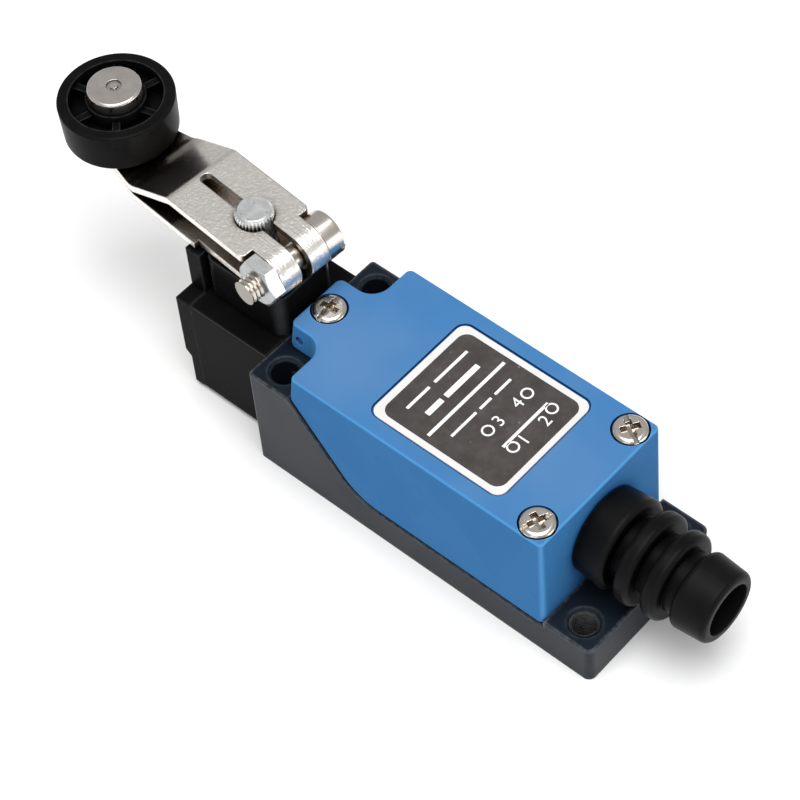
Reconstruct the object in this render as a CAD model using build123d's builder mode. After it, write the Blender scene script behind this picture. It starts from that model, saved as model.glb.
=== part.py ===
from build123d import *
from math import cos, radians, sin, tan
import os

# Roller lever limit switch, lying on its mounting face.
# Origin: the centre of the four mounting holes, on the mounting face.
# +X points to the cable entry, +Y across the body, +Z out of the mounting face. Millimetres.

os.makedirs("parts", exist_ok=True)

# Base housing
body_length = 64.0
body_width = 27.5
pad_height = 7.3
seam_height = 6.1
shoulder_height = 20.1
shoulder_length = 7.8
seam_slope = 49.0
seam_radius = 9.0
base_floor = 2.2
shoulder_corner_radius = 0.6
foot_corner_radius = 1.2
base_edge_radius = 0.2
mount_hole_inset_x = 4.0
mount_hole_inset_y = 3.75
mount_hole_radius = 2.15
mount_hole_chamfer = 0.5

# Front cover and its gasket
cover_height = 25.0
cover_pad_length = 8.55
cover_side_inset = 0.2
cover_draft = 1.0
cover_edge_radius = 0.5
cover_corner_radius = 1.2
cover_wall = 2.2
cover_roof = 2.1
notch_overlap = 0.15
notch_draft = 8.0
notch_radius = 2.5
notch_corner_radius = 1.0
tongue_length = 6.9
tongue_width = 12.2
tongue_corner_radius = 1.8
gasket_thickness = 0.35
gasket_inset = 0.45
mould_mark_radius = 0.75
mould_mark_depth = 0.45
mould_mark_rise = 2.2
post_size = 6.6

# Cover screws
cover_screw_inset = 3.35
tongue_screw_inset = 3.4
cover_head_radius = 2.7
cover_head_height = 1.7
cover_head_sink = 1.3
cover_slot_turns = (69.0, -32.0, 94.0)
head_gap = 0.2
tapped_hole_radius = 1.5
screw_hole_radius = 1.6
screw_thread_depth = 4.2
thread_tip_gap = 0.4

# Nameplate
plate_start_margin = 13.55
plate_end_margin = 10.1
plate_side_margin = 3.2
plate_thickness = 0.35
plate_corner_radius = 1.6
plate_recess_depth = 0.5
plate_recess_gap = 0.35

# Cable boot
boot_axis_height = 15.3
boot_neck_radius = 6.3
boot_flange_radius = 7.1
boot_flange_thickness = 1.1
boot_flange_gap = 0.1
boot_collar_radius = 7.5
boot_collar_flare = 0.5
boot_collar_length = 5.25
boot_groove_radius = 5.0
boot_ring_radii = (7.4, 7.0)
boot_ring_width = 2.7
boot_groove_width = 1.75
boot_nozzle_radius = 6.2
boot_nozzle_taper = 0.5
boot_nozzle_length = 6.0
boot_bore_radius = 4.2
boot_edge_radius = 0.95

# Switch head
head_length = 15.5
head_side_inset = 3.75
head_bottom = 0.9
head_edge_radius = 0.35
head_joint_radius = 0.15
boss_width = 12.0
boss_top = 28.3
boss_corner_radius = 2.4
head_cavity_depth = 12.1
head_cavity_width = 13.2
head_cavity_bottom = 5.4
head_cavity_top = 13.0
cap_thickness = 3.0
cap_neck_width = 13.0
cap_step_height = 6.4
cap_step_depth = 1.3
cap_spigot = 1.0
spigot_gap = 0.1
head_screw_offset = 6.0
head_screw_low = 3.2
head_screw_high = 16.8
head_screw_head_radius = 2.3
head_screw_head_height = 1.5
head_screw_reach = 5.5
seal_mean_radius = 4.2
seal_cord_radius = 0.6

# Shaft and cam
shaft_offset = 9.2
shaft_radius = 3.0
shaft_gap = 0.05
shaft_pivot_radius = 2.0
shaft_pivot_length = 1.8
shaft_top = 37.6
shaft_chamfer = 0.6
knurl_depth = 0.35
knurl_count = 32
bush_radius = 4.0
bush_length = 14.6
shaft_seal_height = 1.6
shaft_seal_drop = 0.3
cam_radius = 5.2
cam_seat_radius = 2.4
cam_flat = 0.6
cam_height = 6.6
cam_notch_depth = 1.8

# Plunger and the springs
plunger_height = 9.2
plunger_radius = 2.5
plunger_gap = 0.08
plunger_tip_length = 1.8
plunger_collar_radius = 4.0
plunger_collar_thickness = 1.0
plunger_nose_radius = 1.6
plunger_nose_length = 2.2
cam_clearance = 0.2
travel = 1.6
spring_wire = 0.5
plunger_spring_radius = 3.2
plunger_spring_turns = 4
contact_spring_radius = 1.8
contact_spring_turns = 2

# Lever: one sheet folded over the clamp screw, both layers pressed together under the roller
lever_angle = 5.3
lever_length = 30.95
lever_half_width = 6.6
lever_sheet = 1.2
lever_bottom = 28.7
lever_height = 7.3
lever_fold_offset = 7.3
lever_end_radius = 4.5
lever_straight = 21.0
lever_corner_radius = 0.8
lever_bore_gap = 0.03
lug_start = 4.6
lug_width = 9.0
lever_slot_width = 2.0
lever_slot_length = 11.6
ramp_start = 12.0
ramp_length = 10.2
ramp_bend_radius = 2.6
layer_gap = 0.04
relief_start = 7.0
relief_depth = 0.9

# Clamp screw and nut
clamp_screw_radius = 2.0
clamp_head_radius = 3.7
clamp_head_height = 3.2
clamp_tail = 2.2
clamp_head_roundness = 0.15
thread_pitch = 0.7
thread_depth = 0.3
thread_grooves = 3
nut_across_flats = 7.0
nut_thickness = 2.3
nut_face_radius = 3.35
nut_chamfer_angle = 60.0

# Roller, its rivet and washer
roller_radius = 8.8
roller_draft = 2.0
roller_thickness = 6.85
roller_rim = 1.55
roller_hub_radius = 4.6
roller_recess = 2.6
roller_spokes = 6
roller_spoke_width = 1.2
roller_spoke_drop = 1.0
roller_spoke_turn = 14.0
roller_edge_radius = 0.45
roller_gap = 0.1
roller_bore_gap = 0.06
rivet_radius = 2.0
rivet_head_radius = 4.15
rivet_head_height = 2.0
rivet_head_edge = 0.4
rivet_dimple_radius = 1.2
rivet_dimple_depth = 0.25
rivet_tail_radius = 3.2
rivet_tail_height = 1.2
washer_radius = 4.2
washer_thickness = 0.85

# Built-in switch
case_post_gap = 2.15
case_width = 19.2
case_height = 13.1
case_end_gap = 6.3
well_width = 14.8
well_floor = 2.4
lid_thickness = 0.8
lid_gap = 0.1
lid_ear_width = 6.0
lid_ear_length = 2.0
button_radius = 1.2
button_gap = 0.1
button_reach = 2.2
contact_gap = 0.1
contact_radius = 1.3
contact_height = 0.3
contact_pitch = 10.6
bridge_thickness = 0.8
bridge_width = 13.2
bridge_height = 3.0
terminal_thickness = 0.8
terminal_width = 4.2
terminal_end_margin = 4.2
terminal_leg_depth = 8.2
terminal_screw_inset = 3.0
terminal_screw_depth = 4.0
terminal_head_radius = 1.9
terminal_head_height = 1.6
small_screw_radius = 1.2
case_screw_inset = 2.2
case_head_radius = 1.9
case_head_height = 1.4
floor_screw_depth = 1.6
floor_tip_gap = 0.2
earth_screw_inset = 4.05
earth_head_radius = 2.4

# Places that follow from the sizes above
half_length = body_length / 2
half_width = body_width / 2
pad_x = half_length - cover_pad_length
slope_top_x = shoulder_length - half_length
slope_foot_x = slope_top_x + (shoulder_height - seam_height) / tan(radians(seam_slope))
hole_pitch_x = body_length - 2 * mount_hole_inset_x
hole_pitch_y = body_width - 2 * mount_hole_inset_y
cover_half_width = half_width - cover_side_inset
cover_start_x = slope_top_x - notch_overlap
cover_tip_x = cover_start_x - tongue_length
cavity_start_x = slope_top_x + cover_side_inset + cover_wall
cavity_end_x = pad_x - cover_wall
cavity_half_width = cover_half_width - cover_wall
cover_head_seat = cover_height - cover_head_sink
tongue_screw_x = cover_start_x - tongue_screw_inset
cover_screw_y = cover_half_width - cover_screw_inset
cover_screw_places = [
    (pad_x - cover_screw_inset, -cover_screw_y),
    (pad_x - cover_screw_inset, cover_screw_y),
    (tongue_screw_x, 0),
]
cover_thread_tops = [seam_height, seam_height, shoulder_height]
mould_mark_y = tongue_width / 2 - mould_mark_rise * tan(radians(notch_draft)) - mould_mark_depth
plate_length = pad_x - plate_end_margin - cover_start_x - plate_start_margin
plate_width = 2 * (cover_half_width - plate_side_margin)
plate_center_x = cover_start_x + plate_start_margin + plate_length / 2
boot_collar_end = pad_x + boot_collar_length
boot_ring_starts = [
    boot_collar_end + boot_groove_width + index * (boot_ring_width + boot_groove_width)
    for index in range(len(boot_ring_radii))
]
boot_nozzle_start = boot_ring_starts[-1] + boot_ring_width + boot_groove_width
boot_end = boot_nozzle_start + boot_nozzle_length
boot_plane = Plane(origin=(0, 0, boot_axis_height), x_dir=(1, 0, 0), z_dir=(0, -1, 0))
boot_axis = Axis((0, 0, boot_axis_height), (1, 0, 0))
head_width = body_width - 2 * head_side_inset
head_end_x = -half_length - head_length
head_middle_x = -half_length - head_length / 2
cap_face_x = head_end_x - cap_thickness
cap_seat_x = cap_face_x + cap_step_depth
head_cavity_middle = (head_cavity_bottom + head_cavity_top) / 2
head_cavity_height = head_cavity_top - head_cavity_bottom
head_screw_places = [
    (side * head_screw_offset, height)
    for side in (-1, 1)
    for height in (head_screw_low, head_screw_high)
]
shaft_x = -half_length - shaft_offset
shaft_plane = Plane((shaft_x, 0, 0))
cam_bottom = plunger_height - cam_height / 2
plunger_tip_x = shaft_x + cam_radius + cam_clearance
plunger_collar_x = cavity_start_x + 0.4
plunger_spring_x = plunger_collar_x + plunger_collar_thickness
button_start_x = plunger_spring_x + plunger_nose_length + contact_gap
clamp_tail_end = lug_width / 2 + nut_thickness + clamp_tail
lever_middle = lever_bottom + lever_height / 2
lever_top = lever_bottom + lever_height
press_top = lever_bottom + 2 * lever_sheet + layer_gap
thread_places = [
    (lever_fold_offset + clamp_screw_radius, (index + 0.5) * thread_pitch - clamp_tail_end)
    for index in range(thread_grooves)
]
washer_top = press_top + washer_thickness
roller_bottom = washer_top + roller_gap
roller_top = roller_bottom + roller_thickness
case_start_x = cavity_start_x + case_end_gap
case_length = cavity_end_x - post_size - case_post_gap - case_start_x
case_middle_x = case_start_x + case_length / 2
case_top = base_floor + case_height
leg_room = terminal_thickness + contact_height + contact_gap
well_length = 2 * leg_room + bridge_thickness + travel
well_start_x = case_middle_x - well_length / 2
well_end_x = case_middle_x + well_length / 2
bridge_x = well_start_x + leg_room
button_end_x = well_end_x + button_reach
terminal_places = [
    (way, side * contact_pitch / 2)
    for way in (-1, 1)
    for side in (-1, 1)
]
terminal_end = case_length / 2 - terminal_end_margin
terminal_screw_offset = terminal_end - terminal_screw_inset
case_screw_places = [
    (case_start_x + case_screw_inset, contact_pitch / 2),
    (case_start_x + case_length - case_screw_inset, -contact_pitch / 2),
]
earth_screw_place = (cavity_end_x - earth_screw_inset, 0)
cos_lever = cos(radians(lever_angle))
sin_lever = sin(radians(lever_angle))


def lever_plan(height):
    """The plane of the lever at a height: local x runs from the shaft to the clamp screw."""
    return Plane(origin=(shaft_x, 0, height), x_dir=(cos_lever, -sin_lever, 0), z_dir=(0, 0, 1))


def lever_cut(offset):
    """A plane across the lever beside its middle: local x runs to the clamp screw, local y is up."""
    origin = (shaft_x - offset * sin_lever, -offset * cos_lever, 0)
    return Plane(origin=origin, x_dir=(cos_lever, -sin_lever, 0), z_dir=(-sin_lever, -cos_lever, 0))


roller_plan = Plane(
    origin=(shaft_x - lever_length * cos_lever, lever_length * sin_lever, 0),
    x_dir=(1, 0, 0),
    z_dir=(0, 0, 1),
)


def seam_outline(lift):
    """The side view of everything under the parting surface, raised by lift."""
    shift = lift * tan(radians(seam_slope) / 2)
    reach = 2 * body_length
    foot = (slope_foot_x + shift, seam_height + lift)
    with BuildSketch() as region:
        Polygon(
            (-reach, -1),
            (reach, -1),
            (reach, seam_height + lift),
            foot,
            (slope_top_x + shift, shoulder_height + lift),
            (-reach, shoulder_height + lift),
            align=None,
        )
        fillet(region.vertices().sort_by_distance((*foot, 0))[0], seam_radius - lift)
    return region.sketch


def cover_outline(inset):
    """The cover seen from the front, with the full width past the end of its tongue."""
    with BuildSketch() as outline:
        with Locations((pad_x - inset, 0)):
            Rectangle(body_length, 2 * (cover_half_width - inset), align=(Align.MAX, Align.CENTER))
        fillet(outline.vertices().group_by(Axis.X)[-1], cover_corner_radius)
    return outline.sketch


def notch_outline(inset):
    """What is cut away around the tongue at the height of the shoulder, grown by inset."""
    start_x = cover_start_x + inset
    tip_x = cover_tip_x + inset
    tongue_half = tongue_width / 2 - inset
    with BuildSketch() as outline:
        with BuildLine():
            Polyline(
                (-body_length, -body_width),
                (start_x, -body_width),
                (start_x, -tongue_half),
                (tip_x, -tongue_half),
                (tip_x, tongue_half),
                (start_x, tongue_half),
                (start_x, body_width),
                (-body_length, body_width),
                close=True,
            )
        make_face()
        notch_corners = outline.vertices().filter_by_position(Axis.Y, -tongue_width, tongue_width)
        fillet(notch_corners.group_by(Axis.X)[-1], notch_radius)
        tongue_corners = outline.vertices().filter_by_position(Axis.Y, -tongue_width, tongue_width)
        fillet(tongue_corners.group_by(Axis.X)[0], tongue_corner_radius)
    return outline.sketch


def cavity_outline():
    """The room inside, with a screw post left in both corners by the cable entry."""
    post_x = cavity_end_x - post_size
    post_y = cavity_half_width - post_size
    with BuildSketch() as outline:
        with BuildLine():
            Polyline(
                (cavity_start_x, -cavity_half_width),
                (post_x, -cavity_half_width),
                (post_x, -post_y),
                (cavity_end_x, -post_y),
                (cavity_end_x, post_y),
                (post_x, post_y),
                (post_x, cavity_half_width),
                (cavity_start_x, cavity_half_width),
                close=True,
            )
        make_face()
        fillet(outline.vertices(), 1.0)
    return outline.sketch


def helical_spring(mean_radius, length, turns):
    """An open compression spring along +Z from z = 0, within the given length."""
    rise = length - spring_wire
    with BuildPart() as spring:
        with BuildLine() as path:
            coil = Helix(pitch=rise / turns, height=rise, radius=mean_radius)
        with BuildSketch(Plane(origin=coil @ 0, z_dir=coil % 0)):
            Circle(spring_wire / 2)
        sweep(path=path.line, is_frenet=True)
    return spring.part.moved(Location((0, 0, spring_wire / 2)))


def pan_screw(head_radius, head_height, shank_radius, shank_length, roundness=0.45):
    """A pan-head screw pointing down from z = 0, with a cross and a slot in its head."""
    arm = 0.56 * head_radius
    groove = 0.4 * head_radius
    with BuildPart() as screw:
        with BuildSketch(Plane.XY.offset(-shank_length)):
            Circle(shank_radius)
        extrude(amount=shank_length)
        with BuildSketch():
            Circle(head_radius)
        extrude(amount=head_height)
        fillet(screw.edges().group_by(Axis.Z)[-1], roundness * head_height)
        with BuildSketch(Plane.XY.offset(head_height)):
            Rectangle(2 * arm, groove)
            Rectangle(groove, 2 * arm)
        extrude(amount=-0.6 * head_height, taper=12, mode=Mode.SUBTRACT)
        with BuildSketch(Plane.XY.offset(head_height)):
            Rectangle(2.4 * head_radius, 0.7 * groove)
        extrude(amount=-0.3 * head_height, mode=Mode.SUBTRACT)
    return screw.part


seam_below = seam_outline(0)
gasket_below = seam_outline(gasket_thickness)
room = cavity_outline()

# Base housing: a low foot at the cable end, rising to a shoulder at the head end
with BuildPart() as base_housing:
    with BuildSketch(Plane.XZ):
        add(seam_below)
        with Locations(((pad_x + half_length) / 2, pad_height / 2)):
            Rectangle(half_length - pad_x, pad_height)
        with Locations((0, shoulder_height / 2)):
            Rectangle(body_length, shoulder_height, mode=Mode.INTERSECT)
    extrude(amount=half_width, both=True)
    corners = base_housing.edges().filter_by(Axis.Z).group_by(Axis.X)
    fillet(corners[0], shoulder_corner_radius)
    fillet(corners[-1], foot_corner_radius)
    upper = base_housing.edges().filter_by(lambda edge: edge.center().Z > seam_height - 0.01)
    across = upper.filter_by(Axis.Y).filter_by(lambda edge: abs(edge.center().X) < half_length - 1)
    fillet(upper - upper.filter_by(Axis.Z) - across, base_edge_radius)
    with BuildSketch(Plane.XY.offset(base_floor)):
        add(room)
    extrude(amount=body_length, mode=Mode.SUBTRACT)
    with BuildSketch():
        with GridLocations(hole_pitch_x, hole_pitch_y, 2, 2):
            Circle(mount_hole_radius)
    extrude(amount=body_length, mode=Mode.SUBTRACT)
    rims = base_housing.edges().filter_by(
        lambda edge: edge.geom_type == GeomType.CIRCLE
        and abs(edge.radius - mount_hole_radius) < 0.01
        and edge.center().Z > base_floor
    )
    chamfer(rims, mount_hole_chamfer)
    for place, top in zip(cover_screw_places, cover_thread_tops):
        with BuildSketch(Plane.XY.offset(top - screw_thread_depth)):
            with Locations(place):
                Circle(tapped_hole_radius)
        extrude(amount=body_length, mode=Mode.SUBTRACT)
    with BuildSketch(Plane.YZ.offset(-half_length)):
        with Locations((0, plunger_height)):
            Circle(plunger_radius + plunger_gap)
    extrude(amount=half_length + cavity_start_x + 1, mode=Mode.SUBTRACT)
    with BuildSketch(Plane.YZ.offset(-half_length)):
        with Locations(*head_screw_places):
            Circle(tapped_hole_radius)
    extrude(amount=head_screw_reach, mode=Mode.SUBTRACT)
    with BuildSketch(Plane.XY.offset(base_floor - floor_screw_depth)):
        with Locations(*case_screw_places, earth_screw_place):
            Circle(small_screw_radius)
    extrude(amount=base_floor, mode=Mode.SUBTRACT)

# Front cover: a drafted shell with a tongue, trimmed along the parting surface
with BuildPart() as front_cover:
    with BuildSketch(Plane.XY.offset(seam_height)):
        add(cover_outline(0))
    extrude(amount=cover_height - seam_height, taper=cover_draft)
    with BuildSketch(Plane.XY.offset(shoulder_height)):
        add(notch_outline(0))
    extrude(amount=cover_height - shoulder_height, taper=-notch_draft, mode=Mode.SUBTRACT)
    upright = front_cover.edges().filter_by_position(Axis.Z, shoulder_height, cover_height)
    upright = upright.filter_by_position(Axis.X, cover_start_x - 1, cover_start_x + 1)
    outer = upright.filter_by(lambda edge: abs(edge.center().Y) > cover_half_width - 1)
    fillet(outer.filter_by(lambda edge: edge.bounding_box().size.Z > 1), notch_corner_radius)
    fillet(front_cover.faces().sort_by(Axis.Z)[-1].edges(), cover_edge_radius)
    with BuildSketch(Plane.XZ):
        add(gasket_below)
    extrude(amount=body_width, both=True, mode=Mode.SUBTRACT)
    with BuildSketch():
        add(room)
    extrude(amount=cover_height - cover_roof, mode=Mode.SUBTRACT)
    with BuildSketch():
        with Locations(*cover_screw_places):
            Circle(screw_hole_radius)
    extrude(amount=cover_height, mode=Mode.SUBTRACT)
    with BuildSketch(Plane.XY.offset(cover_head_seat)):
        with Locations(*cover_screw_places):
            Circle(cover_head_radius + head_gap)
    extrude(amount=cover_height, mode=Mode.SUBTRACT)
    with BuildSketch(Plane.XY.offset(cover_height - plate_recess_depth)):
        with Locations((plate_center_x, 0)):
            RectangleRounded(
                plate_length + 2 * plate_recess_gap,
                plate_width + 2 * plate_recess_gap,
                plate_corner_radius + plate_recess_gap,
            )
    extrude(amount=cover_height, mode=Mode.SUBTRACT)
    with BuildSketch(Plane.YZ.offset(cavity_end_x - boot_flange_thickness - boot_flange_gap)):
        with Locations((0, boot_axis_height)):
            Circle(boot_flange_radius + boot_flange_gap)
    extrude(amount=boot_flange_thickness + boot_flange_gap, mode=Mode.SUBTRACT)
    with BuildSketch(Plane.YZ.offset(cavity_end_x - 1)):
        with Locations((0, boot_axis_height)):
            Circle(boot_neck_radius)
    extrude(amount=body_length, mode=Mode.SUBTRACT)
    for side in (-1, 1):
        with BuildSketch(Plane.XZ.offset(side * mould_mark_y)):
            with Locations((tongue_screw_x - 1, shoulder_height + mould_mark_rise)):
                Circle(mould_mark_radius)
        extrude(amount=side * tongue_width, mode=Mode.SUBTRACT)

# Gasket squeezed between the base and the cover
with BuildPart() as cover_gasket:
    with BuildSketch(Plane.XZ):
        add(gasket_below)
        add(seam_below, mode=Mode.SUBTRACT)
    extrude(amount=half_width, both=True)
    with BuildSketch():
        add(cover_outline(gasket_inset))
        add(notch_outline(gasket_inset), mode=Mode.SUBTRACT)
        add(room, mode=Mode.SUBTRACT)
        with Locations(*cover_screw_places):
            Circle(screw_hole_radius, mode=Mode.SUBTRACT)
    extrude(amount=cover_height, mode=Mode.INTERSECT)

# Nameplate in its recess
with BuildPart() as nameplate:
    with BuildSketch(Plane.XY.offset(cover_height - plate_recess_depth)):
        with Locations((plate_center_x, 0)):
            RectangleRounded(plate_length, plate_width, plate_corner_radius)
    extrude(amount=plate_thickness)

# Three screws hold the cover: two long ones by the cable entry, one in the tongue
with BuildPart() as cover_screws:
    for place, top, turn in zip(cover_screw_places, cover_thread_tops, cover_slot_turns):
        reach = cover_head_seat - top + screw_thread_depth - thread_tip_gap
        with Locations(Location((*place, cover_head_seat), (0, 0, turn))):
            add(pan_screw(cover_head_radius, cover_head_height, tapped_hole_radius, reach))

# Rubber cable boot: a flange inside the wall, a collar, two rings and a tapered nozzle
with BuildPart() as cable_boot:
    with BuildSketch(boot_plane) as boot_profile:
        with BuildLine():
            Polyline(
                (cavity_end_x - boot_flange_thickness, boot_bore_radius),
                (cavity_end_x - boot_flange_thickness, boot_flange_radius),
                (cavity_end_x, boot_flange_radius),
                (cavity_end_x, boot_neck_radius),
                (pad_x, boot_neck_radius),
                (pad_x, boot_collar_radius - boot_collar_flare),
                (boot_collar_end, boot_collar_radius),
                (boot_collar_end, boot_groove_radius),
                (boot_nozzle_start, boot_groove_radius),
                (boot_nozzle_start, boot_nozzle_radius),
                (boot_end, boot_nozzle_radius - boot_nozzle_taper),
                (boot_end, boot_bore_radius),
                close=True,
            )
        make_face()
        for start, radius in zip(boot_ring_starts, boot_ring_radii):
            with Locations((start, boot_bore_radius)):
                Rectangle(boot_ring_width, radius - boot_bore_radius, align=(Align.MIN, Align.MIN))
        fillet(
            boot_profile.vertices().filter_by(
                lambda vertex: vertex.X > pad_x + 1 and vertex.Y > boot_groove_radius + 0.1
            ),
            boot_edge_radius,
        )
    revolve(axis=boot_axis)

# Switch head: a lower block with a rounded boss for the shaft bearing
with BuildPart() as head_housing:
    with BuildSketch(Plane.XY.offset(head_bottom)):
        with Locations((head_middle_x, 0)):
            Rectangle(head_length, head_width)
    extrude(amount=shoulder_height - head_bottom)
    fillet(head_housing.edges().filter_by(Axis.X), head_edge_radius)
    fillet(head_housing.faces().sort_by(Axis.X)[0].edges(), head_joint_radius)
    with BuildSketch(Plane.XY.offset(shoulder_height)):
        with Locations((head_middle_x, 0)):
            RectangleRounded(head_length, boss_width, boss_corner_radius)
    extrude(amount=boss_top - shoulder_height)
    fillet(head_housing.faces().sort_by(Axis.Z)[-1].edges(), head_edge_radius)
    with BuildSketch(Plane.YZ.offset(head_end_x)):
        with Locations((0, head_cavity_middle)):
            Rectangle(head_cavity_width, head_cavity_height)
    extrude(amount=head_cavity_depth, mode=Mode.SUBTRACT)
    with BuildSketch(Plane.YZ.offset(head_end_x)):
        with Locations(*head_screw_places):
            Circle(screw_hole_radius)
    extrude(amount=head_length, mode=Mode.SUBTRACT)
    with BuildSketch(Plane.YZ.offset(head_end_x + head_cavity_depth - 1)):
        with Locations((0, plunger_height)):
            Circle(plunger_radius + plunger_gap)
    extrude(amount=head_length, mode=Mode.SUBTRACT)
    with BuildSketch(Plane.YZ.offset(-half_length - 2 * seal_cord_radius)):
        with Locations((0, plunger_height)):
            Circle(seal_mean_radius + seal_cord_radius)
            Circle(seal_mean_radius - seal_cord_radius, mode=Mode.SUBTRACT)
    extrude(amount=head_length, mode=Mode.SUBTRACT)
    with BuildSketch(shaft_plane.offset(head_cavity_top - 1)):
        Circle(bush_radius)
    extrude(amount=boss_top, mode=Mode.SUBTRACT)
    with BuildSketch(shaft_plane.offset(head_cavity_bottom - shaft_pivot_length)):
        Circle(shaft_pivot_radius + shaft_gap)
    extrude(amount=shaft_pivot_length + 1, mode=Mode.SUBTRACT)

# End cap of the head, its outer face set back around the screws
with BuildPart() as head_cap:
    with BuildSketch(Plane.XZ) as cap_profile:
        with BuildLine():
            Polyline(
                (head_end_x, head_bottom),
                (cap_seat_x, head_bottom),
                (cap_seat_x, cap_step_height),
                (cap_face_x, cap_step_height + cap_step_depth),
                (cap_face_x, boss_top),
                (head_end_x, boss_top),
                close=True,
            )
        make_face()
    extrude(amount=head_width / 2, both=True)
    with BuildSketch(Plane.YZ.offset(cap_face_x)):
        with Locations((0, (head_bottom + shoulder_height) / 2)):
            Rectangle(head_width, shoulder_height - head_bottom)
        with Locations((0, (head_bottom + boss_top) / 2)):
            Rectangle(cap_neck_width, boss_top - head_bottom)
    extrude(amount=cap_thickness, mode=Mode.INTERSECT)
    fillet(head_cap.edges().filter_by(lambda edge: edge.center().X < cap_seat_x), head_edge_radius)
    fillet(head_cap.faces().sort_by(Axis.X)[-1].edges(), head_joint_radius)
    with BuildSketch(Plane.YZ.offset(head_end_x)):
        with Locations((0, head_cavity_middle)):
            Rectangle(head_cavity_width - 2 * spigot_gap, head_cavity_height - 2 * spigot_gap)
    extrude(amount=cap_spigot)
    with BuildSketch(Plane.YZ.offset(cap_face_x)):
        with Locations(*head_screw_places):
            Circle(screw_hole_radius)
    extrude(amount=cap_thickness, mode=Mode.SUBTRACT)
    with BuildSketch(Plane.YZ.offset(cap_seat_x)):
        with Locations(*head_screw_places):
            Circle(head_screw_head_radius + head_gap)
    extrude(amount=-cap_thickness, mode=Mode.SUBTRACT)

# Four long screws run through the cap and the head into the base
with BuildPart() as head_screws:
    reach = head_screw_reach - thread_tip_gap - half_length - cap_seat_x
    for y, z in head_screw_places:
        with Locations(Plane(origin=(cap_seat_x, y, z), x_dir=(0, 1, 1), z_dir=(-1, 0, 0))):
            add(
                pan_screw(
                    head_screw_head_radius, head_screw_head_height, tapped_hole_radius, reach
                )
            )

# Seal ring between the head and the base
with BuildPart() as head_seal:
    with BuildSketch(Plane.XZ):
        with Locations((-half_length - seal_cord_radius, plunger_height + seal_mean_radius)):
            Circle(seal_cord_radius)
    revolve(axis=Axis((0, 0, plunger_height), (1, 0, 0)))

# Bearing bush in the boss
with BuildPart() as shaft_bush:
    with BuildSketch(shaft_plane.offset(boss_top - bush_length)):
        Circle(bush_radius)
        Circle(shaft_radius + shaft_gap, mode=Mode.SUBTRACT)
    extrude(amount=bush_length - shaft_seal_height)

# Lip seal above the bush, a little below the top of the boss
with BuildPart() as shaft_seal:
    with BuildSketch(shaft_plane.offset(boss_top - shaft_seal_height)):
        Circle(bush_radius)
        Circle(shaft_radius + shaft_gap, mode=Mode.SUBTRACT)
    extrude(amount=shaft_seal_height - shaft_seal_drop)

# Actuator shaft: a pivot, a flatted cam seat, a journal and a knurled end
with BuildPart() as actuator_shaft:
    with BuildSketch(shaft_plane.offset(head_cavity_bottom - shaft_pivot_length + shaft_gap)):
        Circle(shaft_pivot_radius)
    extrude(amount=shaft_pivot_length)
    with BuildSketch(shaft_plane.offset(head_cavity_bottom + shaft_gap)):
        Circle(cam_seat_radius)
        with Locations((cam_flat / 2 - cam_seat_radius, 0)):
            Rectangle(cam_flat, 2 * cam_seat_radius, mode=Mode.SUBTRACT)
    extrude(amount=head_cavity_height - shaft_gap)
    with BuildSketch(shaft_plane.offset(head_cavity_top)):
        Circle(shaft_radius)
    extrude(amount=shaft_top - head_cavity_top)
    chamfer(actuator_shaft.edges().group_by(Axis.Z)[-1], shaft_chamfer)
    with BuildSketch(shaft_plane.offset(lever_bottom)):
        with PolarLocations(shaft_radius, knurl_count):
            Rectangle(1.4 * knurl_depth, 1.4 * knurl_depth, rotation=45)
    extrude(amount=shaft_top, mode=Mode.SUBTRACT)

# Cam on the shaft, its notch facing the plunger
with BuildPart() as cam:
    with BuildSketch(shaft_plane.offset(cam_bottom)):
        Circle(cam_radius)
        Polygon(
            (cam_radius + 1, cam_notch_depth + 1),
            (cam_radius - cam_notch_depth, 0),
            (cam_radius + 1, -cam_notch_depth - 1),
            align=None,
            mode=Mode.SUBTRACT,
        )
        Circle(cam_seat_radius, mode=Mode.SUBTRACT)
        with Locations((cam_flat / 2 - cam_seat_radius, 0)):
            Rectangle(cam_flat, 2 * cam_seat_radius)
    extrude(amount=cam_height)

# Plunger with a wedge tip towards the cam, a collar and a nose inside the housing
with BuildPart() as plunger:
    with BuildSketch(Plane.YZ.offset(plunger_tip_x)):
        with Locations((0, plunger_height)):
            Circle(plunger_radius)
    extrude(amount=plunger_collar_x - plunger_tip_x)
    with BuildSketch():
        Polygon(
            (plunger_tip_x, 0),
            (plunger_tip_x + plunger_tip_length, -plunger_radius),
            (plunger_collar_x, -plunger_radius),
            (plunger_collar_x, plunger_radius),
            (plunger_tip_x + plunger_tip_length, plunger_radius),
            align=None,
        )
    extrude(amount=head_cavity_top, mode=Mode.INTERSECT)
    with BuildSketch(Plane.YZ.offset(plunger_collar_x)):
        with Locations((0, plunger_height)):
            Circle(plunger_collar_radius)
    extrude(amount=plunger_collar_thickness)
    with BuildSketch(Plane.YZ.offset(plunger_spring_x)):
        with Locations((0, plunger_height)):
            Circle(plunger_nose_radius)
    extrude(amount=plunger_nose_length)

# Spring that pushes the plunger back to the cam
with BuildPart() as plunger_spring:
    with Locations(Plane(origin=(plunger_spring_x, 0, plunger_height), z_dir=(1, 0, 0))):
        add(
            helical_spring(
                plunger_spring_radius, case_start_x - plunger_spring_x, plunger_spring_turns
            )
        )

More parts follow.
